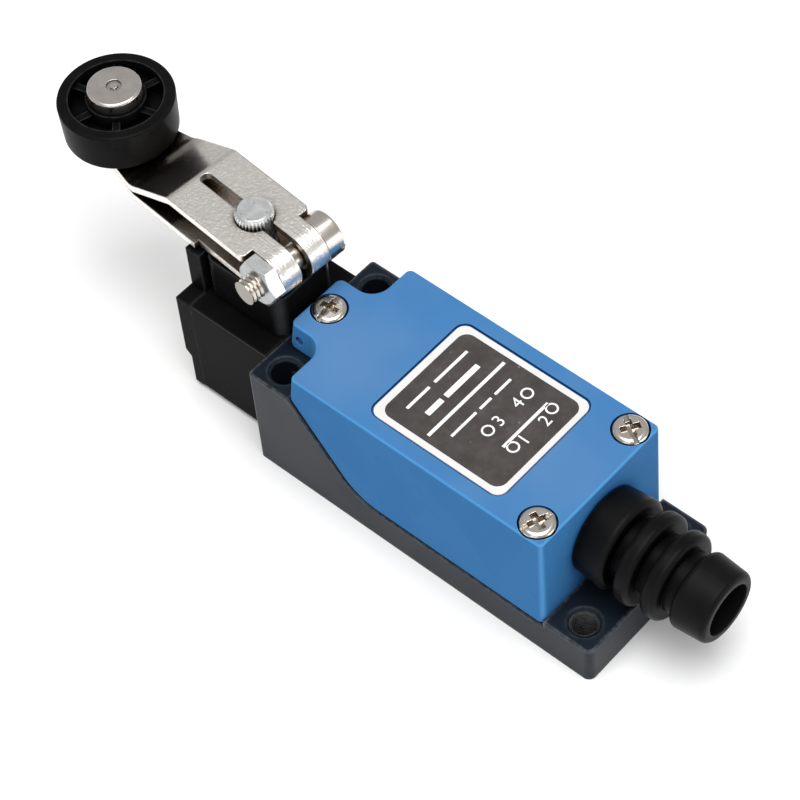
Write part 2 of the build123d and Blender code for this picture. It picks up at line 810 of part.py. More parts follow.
# Lever arm: the sheet runs out along the bottom, around the fold and back over the top
with BuildPart() as lever_arm:
    far = -2 * lever_length
    with BuildSketch(lever_cut(0)):
        with BuildLine():
            Line((far, lever_bottom), (lever_fold_offset, lever_bottom))
            ThreePointArc(
                (lever_fold_offset, lever_bottom),
                (lever_fold_offset + lever_height / 2, lever_middle),
                (lever_fold_offset, lever_top),
            )
            FilletPolyline(
                (lever_fold_offset, lever_top),
                (-ramp_start, lever_top),
                (-ramp_start - ramp_length, press_top),
                (far, press_top),
                radius=ramp_bend_radius,
            )
            offset(amount=lever_sheet, side=Side.LEFT, closed=True)
        make_face()
    extrude(amount=2 * lever_half_width, both=True)
    with BuildSketch(lever_plan(lever_bottom)) as lever_shape:
        with Locations((-lever_length, 0)):
            Circle(lever_end_radius)
        with Locations((lug_start, 0)):
            Rectangle(
                lug_start + lever_straight,
                2 * lever_half_width,
                align=(Align.MAX, Align.CENTER),
            )
        make_hull()
        fillet(lever_shape.vertices().group_by(Axis.X)[-1], lever_corner_radius)
        with Locations((lug_start, 0)):
            Rectangle(lever_length, lug_width, align=(Align.MIN, Align.CENTER))
    extrude(amount=lever_height, mode=Mode.INTERSECT)
    with BuildSketch(lever_plan(lever_bottom)):
        Circle(shaft_radius + lever_bore_gap)
        with Locations((lever_slot_width / 2 - lever_slot_length, 0)):
            Circle(lever_slot_width / 2)
            Rectangle(2 * lever_length, lever_slot_width, align=(Align.MIN, Align.CENTER))
        with Locations((-lever_length, 0)):
            Circle(rivet_radius)
    extrude(amount=lever_height, mode=Mode.SUBTRACT)
    with BuildSketch(lever_plan(lever_bottom)):
        with Locations((-relief_start, -lever_half_width)):
            Rectangle(lever_length, 2 * relief_depth, align=(Align.MIN, Align.CENTER))
    extrude(amount=lever_sheet, mode=Mode.SUBTRACT)

# Clamp screw through the fold: its head on one side, its tail out of the nut on the other
with BuildPart() as clamp_screw:
    seat = lever_cut(-lug_width / 2)
    with Locations(Plane(seat.from_local_coords((lever_fold_offset, lever_middle)), z_dir=-seat.z_dir)):
        add(
            pan_screw(
                clamp_head_radius,
                clamp_head_height,
                clamp_screw_radius,
                lug_width + nut_thickness + clamp_tail,
                clamp_head_roundness,
            )
        )
    with BuildSketch(lever_plan(lever_middle)):
        with Locations(*thread_places):
            Polygon((0, -thread_pitch / 2), (0, thread_pitch / 2), (-thread_depth, 0), align=None)
    middle = seat.from_local_coords((lever_fold_offset, lever_middle))
    revolve(axis=Axis(middle, seat.z_dir), mode=Mode.SUBTRACT)

# Clamp nut
with BuildPart() as clamp_nut:
    with BuildSketch(lever_cut(lug_width / 2)):
        with Locations((lever_fold_offset, lever_middle)):
            RegularPolygon(nut_across_flats / 2, 6, major_radius=False)
    extrude(amount=nut_thickness)
    with BuildSketch(lever_cut(lug_width / 2)):
        with Locations((lever_fold_offset, lever_middle)):
            Circle(nut_face_radius + nut_thickness * tan(radians(nut_chamfer_angle)))
    extrude(amount=nut_thickness, taper=nut_chamfer_angle, mode=Mode.INTERSECT)
    with BuildSketch(lever_cut(lug_width / 2)):
        with Locations((lever_fold_offset, lever_middle)):
            Circle(clamp_screw_radius)
    extrude(amount=nut_thickness, mode=Mode.SUBTRACT)

# Roller: a rim and a hub joined by spokes set below the rim, alike on both faces
with BuildPart() as roller:
    with BuildSketch(roller_plan.offset(roller_bottom)):
        Circle(roller_radius)
    extrude(amount=roller_thickness, taper=-roller_draft)
    fillet(roller.edges().filter_by(GeomType.CIRCLE), roller_edge_radius)
    for face_height, way in ((roller_top, -1), (roller_bottom, 1)):
        with BuildSketch(roller_plan.offset(face_height)):
            Circle(roller_radius - roller_rim)
            Circle(roller_hub_radius, mode=Mode.SUBTRACT)
        extrude(amount=way * roller_recess, mode=Mode.SUBTRACT)
        with BuildSketch(roller_plan.offset(face_height + way * roller_spoke_drop)):
            middle = (roller_radius - roller_rim + roller_hub_radius) / 2
            with PolarLocations(middle, roller_spokes, start_angle=roller_spoke_turn):
                Rectangle(roller_radius - roller_hub_radius - roller_rim / 2, roller_spoke_width)
        extrude(amount=way * (roller_recess - roller_spoke_drop))
    with BuildSketch(roller_plan.offset(roller_bottom)):
        Circle(rivet_radius + roller_bore_gap)
    extrude(amount=roller_thickness, mode=Mode.SUBTRACT)

# Rivet: the roller's axle, headed above the roller and closed below the lever
with BuildPart() as roller_rivet:
    with BuildSketch(roller_plan.offset(lever_bottom - rivet_tail_height)):
        Circle(rivet_tail_radius)
    extrude(amount=rivet_tail_height)
    fillet(roller_rivet.edges().group_by(Axis.Z)[0], rivet_tail_height / 2)
    with BuildSketch(roller_plan.offset(lever_bottom)):
        Circle(rivet_radius)
    extrude(amount=roller_top + roller_gap - lever_bottom)
    with BuildSketch(roller_plan.offset(roller_top + roller_gap)):
        Circle(rivet_head_radius)
    extrude(amount=rivet_head_height)
    fillet(roller_rivet.edges().group_by(Axis.Z)[-1], rivet_head_edge)
    with BuildSketch(roller_plan.offset(roller_top + roller_gap + rivet_head_height)):
        Circle(rivet_dimple_radius)
        Circle(rivet_dimple_radius / 2, mode=Mode.SUBTRACT)
    extrude(amount=-rivet_dimple_depth, mode=Mode.SUBTRACT)

# Washer under the roller
with BuildPart() as roller_washer:
    with BuildSketch(roller_plan.offset(press_top)):
        Circle(washer_radius)
        Circle(rivet_radius, mode=Mode.SUBTRACT)
    extrude(amount=washer_thickness)

# Case of the built-in switch, with a well for the contacts
with BuildPart() as switch_case:
    with BuildSketch(Plane.XY.offset(base_floor)):
        with Locations((case_middle_x, 0)):
            Rectangle(case_length, case_width)
    extrude(amount=case_height)
    chamfer(switch_case.edges().group_by(Axis.Z)[-1], 0.4)
    with BuildSketch(Plane.XY.offset(base_floor + well_floor)):
        with Locations((case_middle_x, 0)):
            Rectangle(well_length, well_width)
    extrude(amount=case_height, mode=Mode.SUBTRACT)
    with BuildSketch(Plane.YZ.offset(case_start_x)):
        with Locations((0, plunger_height)):
            Circle(button_radius + button_gap)
    extrude(
        amount=button_end_x + travel + contact_gap - case_start_x,
        mode=Mode.SUBTRACT,
    )
    with BuildSketch():
        with Locations(*case_screw_places):
            Circle(small_screw_radius)
    extrude(amount=case_top, mode=Mode.SUBTRACT)
    with BuildSketch(Plane.XY.offset(case_top + terminal_thickness - terminal_screw_depth)):
        for way, y in terminal_places:
            with Locations((case_middle_x + way * terminal_screw_offset, y)):
                Circle(small_screw_radius)
    extrude(amount=case_height, mode=Mode.SUBTRACT)

# Lid over the well, fitting between the terminals
with BuildPart() as switch_lid:
    with BuildSketch(Plane.XY.offset(case_top - lid_thickness)):
        with Locations((case_middle_x, 0)):
            Rectangle(
                well_length - 2 * terminal_thickness - 2 * lid_gap,
                well_width - 2 * lid_gap,
            )
    extrude(amount=2 * lid_thickness)
    with BuildSketch(Plane.XY.offset(case_top)):
        with Locations((case_middle_x, 0)):
            Rectangle(well_length + 2 * lid_ear_length, lid_ear_width)
    extrude(amount=lid_thickness)

# Button rod that carries the contact bridge
with BuildPart() as switch_button:
    with BuildSketch(Plane.YZ.offset(button_start_x)):
        with Locations((0, plunger_height)):
            Circle(button_radius)
    extrude(amount=button_end_x - button_start_x)

# Contact bridge: a bar pressed on the rod, with a contact on both faces at both ends
with BuildPart() as contact_bridge:
    with BuildSketch(Plane.YZ.offset(bridge_x)):
        with Locations((0, plunger_height)):
            Rectangle(bridge_width, bridge_height)
            Circle(button_radius, mode=Mode.SUBTRACT)
    extrude(amount=bridge_thickness)

# Spring that returns the contact bridge
with BuildPart() as contact_spring:
    start_x = bridge_x + bridge_thickness
    with Locations(Plane(origin=(start_x, 0, plunger_height), z_dir=(1, 0, 0))):
        add(helical_spring(contact_spring_radius, well_end_x - start_x, contact_spring_turns))

# Four terminals: a tab on the case, a leg down the well and a contact facing the bridge
with BuildPart() as terminals:
    for way, y in terminal_places:
        wall_x = case_middle_x + way * well_length / 2
        leg_x = wall_x - way * terminal_thickness
        with BuildSketch(Plane.XZ.offset(-y)):
            Polygon(
                (leg_x, case_top - terminal_leg_depth),
                (wall_x, case_top - terminal_leg_depth),
                (wall_x, case_top),
                (case_middle_x + way * terminal_end, case_top),
                (case_middle_x + way * terminal_end, case_top + terminal_thickness),
                (leg_x, case_top + terminal_thickness),
                align=None,
            )
        extrude(amount=terminal_width / 2, both=True)
        with BuildSketch(Plane.YZ.offset(leg_x)):
            with Locations((y, plunger_height)):
                Circle(contact_radius)
        extrude(amount=-way * contact_height)
        with BuildSketch(Plane.XY.offset(case_top)):
            with Locations((case_middle_x + way * terminal_screw_offset, y)):
                Circle(small_screw_radius)
        extrude(amount=terminal_thickness, mode=Mode.SUBTRACT)

# Screws of the four terminals
with BuildPart() as terminal_screws:
    for way, y in terminal_places:
        place = (case_middle_x + way * terminal_screw_offset, y, case_top + terminal_thickness)
        with Locations(Location(place)):
            add(
                pan_screw(
                    terminal_head_radius,
                    terminal_head_height,
                    small_screw_radius,
                    terminal_screw_depth - floor_tip_gap,
                )
            )

# Two screws hold the case to the floor of the base
with BuildPart() as case_screws:
    for place in case_screw_places:
        reach = case_height + floor_screw_depth - floor_tip_gap
        with Locations(Location((*place, case_top))):
            add(pan_screw(case_head_radius, case_head_height, small_screw_radius, reach))

# Earth screw in the floor of the base
with BuildPart() as earth_screw:
    with Locations(Location((*earth_screw_place, base_floor))):
        add(
            pan_screw(
                earth_head_radius,
                case_head_height,
                small_screw_radius,
                floor_screw_depth - floor_tip_gap,
            )
        )

base_housing.part.label = "base_housing"
export_step(base_housing.part, "parts/base_housing.step")
front_cover.part.label = "front_cover"
export_step(front_cover.part, "parts/front_cover.step")
cover_gasket.part.label = "cover_gasket"
export_step(cover_gasket.part, "parts/cover_gasket.step")
nameplate.part.label = "nameplate"
export_step(nameplate.part, "parts/nameplate.step")
cover_screws.part.label = "cover_screws"
export_step(cover_screws.part, "parts/cover_screws.step")
cable_boot.part.label = "cable_boot"
export_step(cable_boot.part, "parts/cable_boot.step")
head_housing.part.label = "head_housing"
export_step(head_housing.part, "parts/head_housing.step")
head_cap.part.label = "head_cap"
export_step(head_cap.part, "parts/head_cap.step")
head_screws.part.label = "head_screws"
export_step(head_screws.part, "parts/head_screws.step")
head_seal.part.label = "head_seal"
export_step(head_seal.part, "parts/head_seal.step")
shaft_bush.part.label = "shaft_bush"
export_step(shaft_bush.part, "parts/shaft_bush.step")
shaft_seal.part.label = "shaft_seal"
export_step(shaft_seal.part, "parts/shaft_seal.step")
actuator_shaft.part.label = "actuator_shaft"
export_step(actuator_shaft.part, "parts/actuator_shaft.step")
cam.part.label = "cam"
export_step(cam.part, "parts/cam.step")
plunger.part.label = "plunger"
export_step(plunger.part, "parts/plunger.step")
plunger_spring.part.label = "plunger_spring"
export_step(plunger_spring.part, "parts/plunger_spring.step")
lever_arm.part.label = "lever_arm"
export_step(lever_arm.part, "parts/lever_arm.step")
clamp_screw.part.label = "clamp_screw"
export_step(clamp_screw.part, "parts/clamp_screw.step")
clamp_nut.part.label = "clamp_nut"
export_step(clamp_nut.part, "parts/clamp_nut.step")
roller.part.label = "roller"
export_step(roller.part, "parts/roller.step")
roller_rivet.part.label = "roller_rivet"
export_step(roller_rivet.part, "parts/roller_rivet.step")
roller_washer.part.label = "roller_washer"
export_step(roller_washer.part, "parts/roller_washer.step")
switch_case.part.label = "switch_case"
export_step(switch_case.part, "parts/switch_case.step")
switch_lid.part.label = "switch_lid"
export_step(switch_lid.part, "parts/switch_lid.step")
switch_button.part.label = "switch_button"
export_step(switch_button.part, "parts/switch_button.step")
contact_bridge.part.label = "contact_bridge"
export_step(contact_bridge.part, "parts/contact_bridge.step")
contact_spring.part.label = "contact_spring"
export_step(contact_spring.part, "parts/contact_spring.step")
terminals.part.label = "terminals"
export_step(terminals.part, "parts/terminals.step")
terminal_screws.part.label = "terminal_screws"
export_step(terminal_screws.part, "parts/terminal_screws.step")
case_screws.part.label = "case_screws"
export_step(case_screws.part, "parts/case_screws.step")
earth_screw.part.label = "earth_screw"
export_step(earth_screw.part, "parts/earth_screw.step")
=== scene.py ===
# %% [markdown]
# A roller lever limit switch, dressed for its portrait.
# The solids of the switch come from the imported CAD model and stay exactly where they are. This
# lesson gives each of them its finish and adds the small things that are easier to model by hand
# than in CAD: the print on the plate and the threads inside the foot.

# %% Load the frame
import math
import bpy
from mathutils import Matrix, Vector


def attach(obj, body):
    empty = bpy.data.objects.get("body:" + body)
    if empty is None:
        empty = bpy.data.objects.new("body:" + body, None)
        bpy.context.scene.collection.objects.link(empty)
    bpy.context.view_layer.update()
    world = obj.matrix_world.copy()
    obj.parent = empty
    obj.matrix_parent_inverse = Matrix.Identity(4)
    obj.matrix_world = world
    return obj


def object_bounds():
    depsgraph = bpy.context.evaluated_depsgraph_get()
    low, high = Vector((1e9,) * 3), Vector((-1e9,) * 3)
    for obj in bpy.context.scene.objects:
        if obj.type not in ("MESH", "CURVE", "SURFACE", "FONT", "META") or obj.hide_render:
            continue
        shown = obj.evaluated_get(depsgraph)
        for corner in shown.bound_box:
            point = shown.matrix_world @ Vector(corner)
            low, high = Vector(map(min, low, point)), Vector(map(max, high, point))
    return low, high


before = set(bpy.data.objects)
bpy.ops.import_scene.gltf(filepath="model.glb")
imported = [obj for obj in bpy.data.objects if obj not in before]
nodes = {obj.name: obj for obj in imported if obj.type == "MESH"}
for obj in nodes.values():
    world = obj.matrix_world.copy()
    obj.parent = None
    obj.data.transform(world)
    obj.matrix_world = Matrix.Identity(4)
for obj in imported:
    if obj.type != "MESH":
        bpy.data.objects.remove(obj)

cad_low, cad_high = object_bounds()
MM = 0.001
print("CAD box in mm:", [round(value / MM, 1) for value in (*cad_low, *cad_high)])

# %% [markdown]
# The stage is one large pale floor. Its paint is matte, so it takes a soft contact shadow and no
# reflection that would pull the eye away from the switch.

# %% Floor
FLOOR_SIDE = 4.0
FLOOR_TONE = (0.93, 0.93, 0.93, 1)
bpy.ops.object.select_all(action="DESELECT")
bpy.ops.mesh.primitive_plane_add(size=FLOOR_SIDE, location=(0, 0, 0))
floor = bpy.context.object
floor.name = "floor"
floor_paint = bpy.data.materials.new("floor_paint")
floor_paint.use_nodes = True
floor_shader = floor_paint.node_tree.nodes["Principled BSDF"]
floor_shader.inputs["Base Color"].default_value = FLOOR_TONE
floor_shader.inputs["Roughness"].default_value = 1.0
floor_shader.inputs["Specular IOR Level"].default_value = 0.0
floor.data.materials.append(floor_paint)
print("floor laid, side", FLOOR_SIDE, "m")

# %% [markdown]
# The camera stands at the photo's viewpoint: about 41 cm away, turned 46 degrees round the switch
# and looking down at 53 degrees, with the frame tilted a little. A long lens keeps the far end of
# the switch nearly as large as the near one.

# %% Camera
CAMERA_PLACE = Vector((163.62, -173.15, 337.98)) * MM
AZIMUTH, ELEVATION, ROLL = 45.88, 52.53, -5.78
LENS, SENSOR_WIDTH = 124.9, 36.0
camera_data = bpy.data.cameras.new("camera")
camera_data.lens = LENS
camera_data.sensor_width = SENSOR_WIDTH
camera_data.clip_start = 0.01
camera_data.clip_end = 10.0
camera = bpy.data.objects.new("camera", camera_data)
bpy.context.scene.collection.objects.link(camera)
bpy.context.scene.camera = camera
camera.matrix_world = (
    Matrix.Translation(CAMERA_PLACE)
    @ Matrix.Rotation(math.radians(AZIMUTH), 4, "Z")
    @ Matrix.Rotation(math.radians(90 - ELEVATION), 4, "X")
    @ Matrix.Rotation(math.radians(ROLL), 4, "Z")
)
print("camera at", [round(value, 3) for value in CAMERA_PLACE])

# %% [markdown]
# The light is a studio tent with one large softbox nearly overhead, a little towards the camera.
# From the camera, flat tops mirror the far upper part of the room. That part stays grey, which
# keeps the black tops black, while the bright floor lights all the sides from below. A low panel
# stands past the cable end: the steep faces of nut, fold and screw heads mirror it as white
# glints.

# %% Lights
ROOM_STRENGTH = 0.42
middle = (cad_low + cad_high) / 2


def put_panel(name, place, size, power):
    data = bpy.data.lights.new(name, "AREA")
    data.shape = "RECTANGLE"
    data.size, data.size_y = size
    data.energy = power
    light = bpy.data.objects.new(name, data)
    bpy.context.scene.collection.objects.link(light)
    light.location = place
    light.rotation_euler = (middle - Vector(place)).to_track_quat("-Z", "Y").to_euler()
    return light


world = bpy.data.worlds.new("room")
bpy.context.scene.world = world
world.use_nodes = True
world.node_tree.nodes["Background"].inputs["Color"].default_value = (1, 1, 1, 1)
world.node_tree.nodes["Background"].inputs["Strength"].default_value = ROOM_STRENGTH
bpy.context.scene.view_settings.view_transform = "Standard"
panels = [
    put_panel("softbox_top", (0.12, -0.1, 0.95), (0.8, 0.8), 10.5),
    put_panel("panel_front", (0.25, -0.7, 0.3), (0.5, 0.3), 0.5),
    put_panel("panel_low", (0.5, 0.15, 0.1), (0.36, 0.18), 0.4),
]
print("panels:", {panel.name: f"{panel.data.energy:.1f} W" for panel in panels})

# %% [markdown]
# Every finish on the switch is wired up from the same few parts. A wire joins two nodes. A window
# takes a stretch out of a value and spreads it from low to high. Patches are a noise of a given
# number of waves per millimetre, read in Object coordinates, so that they stay on their piece. A
# blend lays one colour over another. The Mix node has its sockets for colours and for numbers side
# by side under the same names, so they are told apart by their place.

# %% Wires, windows, patches and blends
COLOR_A, COLOR_B, COLOR_OUT = 6, 7, 2
NUMBER_MIX, NUMBER_A, NUMBER_B, NUMBER_OUT = 0, 2, 3, 0


def link(tree, source, output, target, socket):
    tree.links.new(source.outputs[output], target.inputs[socket])


def window(tree, source, output, first, last, low=0.0, high=1.0):
    stretch = tree.nodes.new("ShaderNodeMapRange")
    stretch.inputs["From Min"].default_value = first
    stretch.inputs["From Max"].default_value = last
    stretch.inputs["To Min"].default_value = low
    stretch.inputs["To Max"].default_value = high
    link(tree, source, output, stretch, "Value")
    return stretch


def patches(tree, coords, scale, detail):
    noise = tree.nodes.new("ShaderNodeTexNoise")
    noise.inputs["Scale"].default_value = scale / MM
    noise.inputs["Detail"].default_value = detail
    link(tree, coords, "Object", noise, "Vector")
    return noise


def blend_colors(tree, factor, base, color):
    mix = tree.nodes.new("ShaderNodeMix")
    mix.data_type = "RGBA"
    mix.inputs[COLOR_B].default_value = (*color, 1)
    link(tree, factor, "Result", mix, "Factor")
    link(tree, base, COLOR_OUT, mix, COLOR_A)
    return mix


print("colour sockets of a Mix node:", (COLOR_A, COLOR_B), "to", COLOR_OUT)

# %% [markdown]
# No real paint or plating is even. Two close shades lie in soft patches, and the same patches are
# a little rougher or smoother. Over them runs a fine grain as relief. The Bevel node bends the
# normal near a sharp edge, so that the edge catches light as a slightly rounded one does.

# %% Shades and grain
NOISE_LOW, NOISE_HIGH = 0.3, 0.7
BEVEL_RAYS = 6
GRAIN_DETAIL = 2.0


def two_shades(tree, soft, color, shade):
    mix = tree.nodes.new("ShaderNodeMix")
    mix.data_type = "RGBA"
    mix.inputs[COLOR_A].default_value = (*color, 1)
    mix.inputs[COLOR_B].default_value = (*shade, 1)
    link(tree, window(tree, soft, "Fac", NOISE_LOW, NOISE_HIGH), "Result", mix, "Factor")
    return mix


def lay_grain(tree, coords, shader, grain, relief, depth, rounding):
    rounded = tree.nodes.new("ShaderNodeBevel")
    rounded.samples = BEVEL_RAYS
    rounded.inputs["Radius"].default_value = rounding * MM
    bump = tree.nodes.new("ShaderNodeBump")
    bump.name = "grain_bump"
    bump.inputs["Strength"].default_value = relief
    bump.inputs["Distance"].default_value = depth * MM
    fine = patches(tree, coords, grain, GRAIN_DETAIL)
    fine.name = "fine_grain"
    link(tree, fine, "Fac", bump, "Height")
    link(tree, rounded, "Normal", bump, "Normal")
    link(tree, bump, "Normal", shader, "Normal")


print("noise between", NOISE_LOW, "and", NOISE_HIGH, "is spread over the two shades")

# %% [markdown]
# Light and wear are painted along the form. Rays cast inwards tell how near an outer edge is:
# there the colour is made lighter, in broken chips: a painted highlight, and partly wear, as on a
# part that has been handled. Rays cast outwards find the hollows, which get a painted shade. One
# node, Ambient Occlusion, does both.

# %% Edges and hollows
RAYS = 6
EDGE_WINDOW = (0.93, 0.55)
CHIP_WINDOW = (0.35, 0.6)
CHIP_DETAIL = 4.0
CHIP_REST = 0.25


def nearness(tree, distance, inside, first, last, high=1.0):
    rays = tree.nodes.new("ShaderNodeAmbientOcclusion")
    rays.samples = RAYS
    rays.inside = inside
    rays.only_local = inside
    rays.inputs["Distance"].default_value = distance * MM
    return window(tree, rays, "AO", first, last, high=high)


def edge_highlight_and_wear(tree, coords, edge, share, chips):
    # Edge colour, mostly a painted highlight and partly wear, lies where inward rays soon meet a
    # wall.
    edge_mask = nearness(tree, 2 * edge, True, *EDGE_WINDOW)
    noise = patches(tree, coords, chips, CHIP_DETAIL)
    chipped = window(tree, noise, "Fac", *CHIP_WINDOW, CHIP_REST * share, share)
    link(tree, chipped, "Result", edge_mask, "To Max")
    return edge_mask


print("an edge of 0.25 mm is felt", 2 * 0.25, "mm deep")

# %% [markdown]
# Three more marks are kept for single finishes. The first are specks, as on a plain plating; on
# the lever they are white and are painted glints. A Voronoi pattern cuts space into cells, and
# each cell that is chosen by its random colour gets one dot at its centre.

# %% Specks
CHOSEN_CELLS = (0.55, 0.6)


def scatter(tree, coords, scale, radius):
    cells = tree.nodes.new("ShaderNodeTexVoronoi")
    cells.inputs["Scale"].default_value = scale / MM
    link(tree, coords, "Object", cells, "Vector")
    dots = window(tree, cells, "Distance", radius, 0.5 * radius)
    link(tree, window(tree, cells, "Color", *CHOSEN_CELLS), "Result", dots, "To Max")
    return dots


print("about", round(100 * (1 - sum(CHOSEN_CELLS) / 2)), "cells in a hundred get a dot")

# %% [markdown]
# The second is a painted sheen: faces that look up, where the normal's Z is near 1, are made
# lighter and greyer, as they look in a reflection. It lies in clouds, which are very wide patches.

# %% Painted sheen on tops
SHEEN_CLOUD = 0.05
CLOUD_WINDOW = (0.35, 0.65)
LOOKING_UP = (0.85, 1.0)


def directions(tree, coords):
    axes = tree.nodes.new("ShaderNodeSeparateXYZ")
    link(tree, coords, "Normal", axes, "Vector")
    return axes


def painted_sheen_mask(tree, coords, amount):
    # Painted sheen: the lighter tone stands for a reflection on the tops.
    noise = patches(tree, coords, SHEEN_CLOUD, GRAIN_DETAIL)
    cloudy = window(tree, noise, "Fac", *CLOUD_WINDOW, 0.5 * amount, 1.5 * amount)
    sheen_on_tops = window(tree, directions(tree, coords), "Z", *LOOKING_UP)
    link(tree, cloudy, "Result", sheen_on_tops, "To Max")
    return sheen_on_tops


sheen_slope = math.degrees(math.acos(LOOKING_UP[0]))
print("dust begins on faces that lie within", round(sheen_slope), "degrees of level")

# %% [markdown]
# The third is a painted highlight on the fillet. On a boxy casting the normal itself tells a
# rounded edge, because it looks along no axis there. Of its three parts, taken without sign, the
# largest then falls well below 1.

# %% Fillets
FILLET_WINDOW = (0.985, 0.8)


def larger(tree, one, one_output, other, other_output):
    pick = tree.nodes.new("ShaderNodeMath")
    pick.operation = "MAXIMUM"
    link(tree, one, one_output, pick, 0)
    link(tree, other, other_output, pick, 1)
    return pick


def fillet_highlight_mask(tree, coords, share):
    # Painted highlight: where this mask is high, the fillet gets a lighter colour.
    unsigned = tree.nodes.new("ShaderNodeVectorMath")
    unsigned.operation = "ABSOLUTE"
    link(tree, coords, "Normal", unsigned, 0)
    axes = tree.nodes.new("ShaderNodeSeparateXYZ")
    link(tree, unsigned, "Vector", axes, "Vector")
    level = larger(tree, axes, "X", axes, "Y")
    steepest = larger(tree, level, "Value", axes, "Z")
    return window(tree, steepest, "Value", *FILLET_WINDOW, high=share)


fillet_from = math.degrees(math.acos(FILLET_WINDOW[0]))
print("a face counts as fillet when turned by", round(fillet_from), "degrees or more")

# %% [markdown]
# The recipe for a finish takes all of this together. Lengths are in millimetres, and patch, grain
# and chips are waves per millimetre. Colours are laid from the bottom up: the two shades, then
# specks and painted glints, the painted sheen and the painted highlight on fillets where a finish
# has them, then the edges with their painted highlight and wear, and the painted shade in hollows
# last.

# %% Surface recipe
PATCH_DETAIL = 3.0


def surface(
    name, color, shade, roughness, specular=0.5, metallic=0.0, tint=None,
    patch=0.25, grain=5.0, relief=0.08, depth=0.1, soften=None,
    edge=0.25, edge_color=None, edge_share=0.6, chips=1.2,
    painted_shade=0.0, painted_shade_color=(0, 0, 0), painted_shade_reach=2.0, painted_shade_window=(0.8, 0.25),
    specks_and_glints=None, painted_sheen=None, fillet_highlight=None,
):
    material = bpy.data.materials.new(name)
    material.use_nodes = True
    tree = material.node_tree
    shader = tree.nodes["Principled BSDF"]
    shader.inputs["Metallic"].default_value = metallic
    shader.inputs["Specular IOR Level"].default_value = specular
    if tint:
        shader.inputs["Specular Tint"].default_value = (*tint, 1)
    coords = tree.nodes.new("ShaderNodeTexCoord")
    soft = patches(tree, coords, patch, PATCH_DETAIL)
    base = two_shades(tree, soft, color, shade)
    rough = window(tree, soft, "Fac", NOISE_LOW, NOISE_HIGH, *roughness)
    rough.name = "roughness_range"
    link(tree, rough, "Result", shader, "Roughness")
    lay_grain(tree, coords, shader, grain, relief, depth, edge if soften is None else soften)
    # Specks, and on the lever painted glints.
    if specks_and_glints:
        scale, radius, speck_and_glint_color = specks_and_glints
        base = blend_colors(tree, scatter(tree, coords, scale, radius), base, speck_and_glint_color)
    # Painted sheen on the faces that look up.
    if painted_sheen:
        amount, sheen_color = painted_sheen
        base = blend_colors(tree, painted_sheen_mask(tree, coords, amount), base, sheen_color)
    # Painted highlight on the fillets.
    if fillet_highlight:
        share, fillet_highlight_color = fillet_highlight
        base = blend_colors(tree, fillet_highlight_mask(tree, coords, share), base, fillet_highlight_color)
    # Painted highlight on the edges, partly wear: the edge colour is laid near outer edges.
    edge_mask = edge_highlight_and_wear(tree, coords, edge, edge_share, chips)
    base = blend_colors(tree, edge_mask, base, edge_color or color)
    # Painted shade: the hollows are darkened towards the hollow colour.
    if painted_shade:
        painted_shade_mask = nearness(tree, painted_shade_reach, False, *painted_shade_window, painted_shade)
        base = blend_colors(tree, painted_shade_mask, base, painted_shade_color)
    link(tree, base, COLOR_OUT, shader, "Base Color")
    return material


def wear(material, *names):
    for name in names:
        node = nodes[name]
        node.data.materials.clear()
        node.data.materials.append(material)
    print(material.name, "on", ", ".join(names))


# %% [markdown]
# The base is a die-casting with a dark, slightly bluish satin paint. The cover is sprayed in a
# clear blue. Both have the faint orange peel of a sprayed coat. Their edges get a painted
# highlight, partly wear, and their hollows a painted shade. On the cover the fillets get a painted
# highlight too, and the faces that look up a painted sheen.

# %% Painted castings
wear(
    surface(
        "base_paint", (0.0052, 0.0086, 0.0145), (0.0072, 0.0108, 0.0172), (0.3, 0.4), 0.15,
        tint=(0.88, 0.95, 1.0), patch=0.12, grain=3.0, relief=0.05,
        edge=0.3, edge_color=(0.13, 0.14, 0.155), edge_share=0.85, painted_shade=0.7,
    ),
    "base_housing",
)
wear(
    surface(
        "cover_paint", (0.036, 0.158, 0.375), (0.044, 0.174, 0.395), (0.24, 0.3), 0.006,
        patch=0.08, grain=2.0, relief=0.015, edge=0.05, edge_color=(0.15, 0.4, 0.70), chips=0.3,
        painted_shade=0.85, painted_shade_color=(0.002, 0.03, 0.14), painted_shade_reach=3.2, painted_shade_window=(0.7, 0.3),
        painted_sheen=(0.08, (0.40, 0.44, 0.46)), fillet_highlight=(0.42, (0.12, 0.38, 0.70)),
    ),
    "front_cover",
)

# %% [markdown]
# The head is a glossy black casting. Its sides are deep black; its edges and fillets get a
# painted highlight, and its hollows a painted shade.

# %% Black head
wear(
    surface(
        "head_paint", (0.0045, 0.0045, 0.0047), (0.006, 0.006, 0.0062), (0.2, 0.3), 0.012,
        patch=0.15, grain=3.0, relief=0.03, edge_color=(0.03, 0.03, 0.031), edge_share=0.8,
        painted_shade=0.8, painted_shade_reach=1.0, fillet_highlight=(0.9, (0.04, 0.04, 0.041)),
    ),
    "head_housing", "head_cap",
)

# %% [markdown]
# Rubber is matte with a very fine tooth. The moulded roller is a little glossier than the boot.
# Boot and roller get a painted highlight on their edges and a painted shade in grooves and recess.

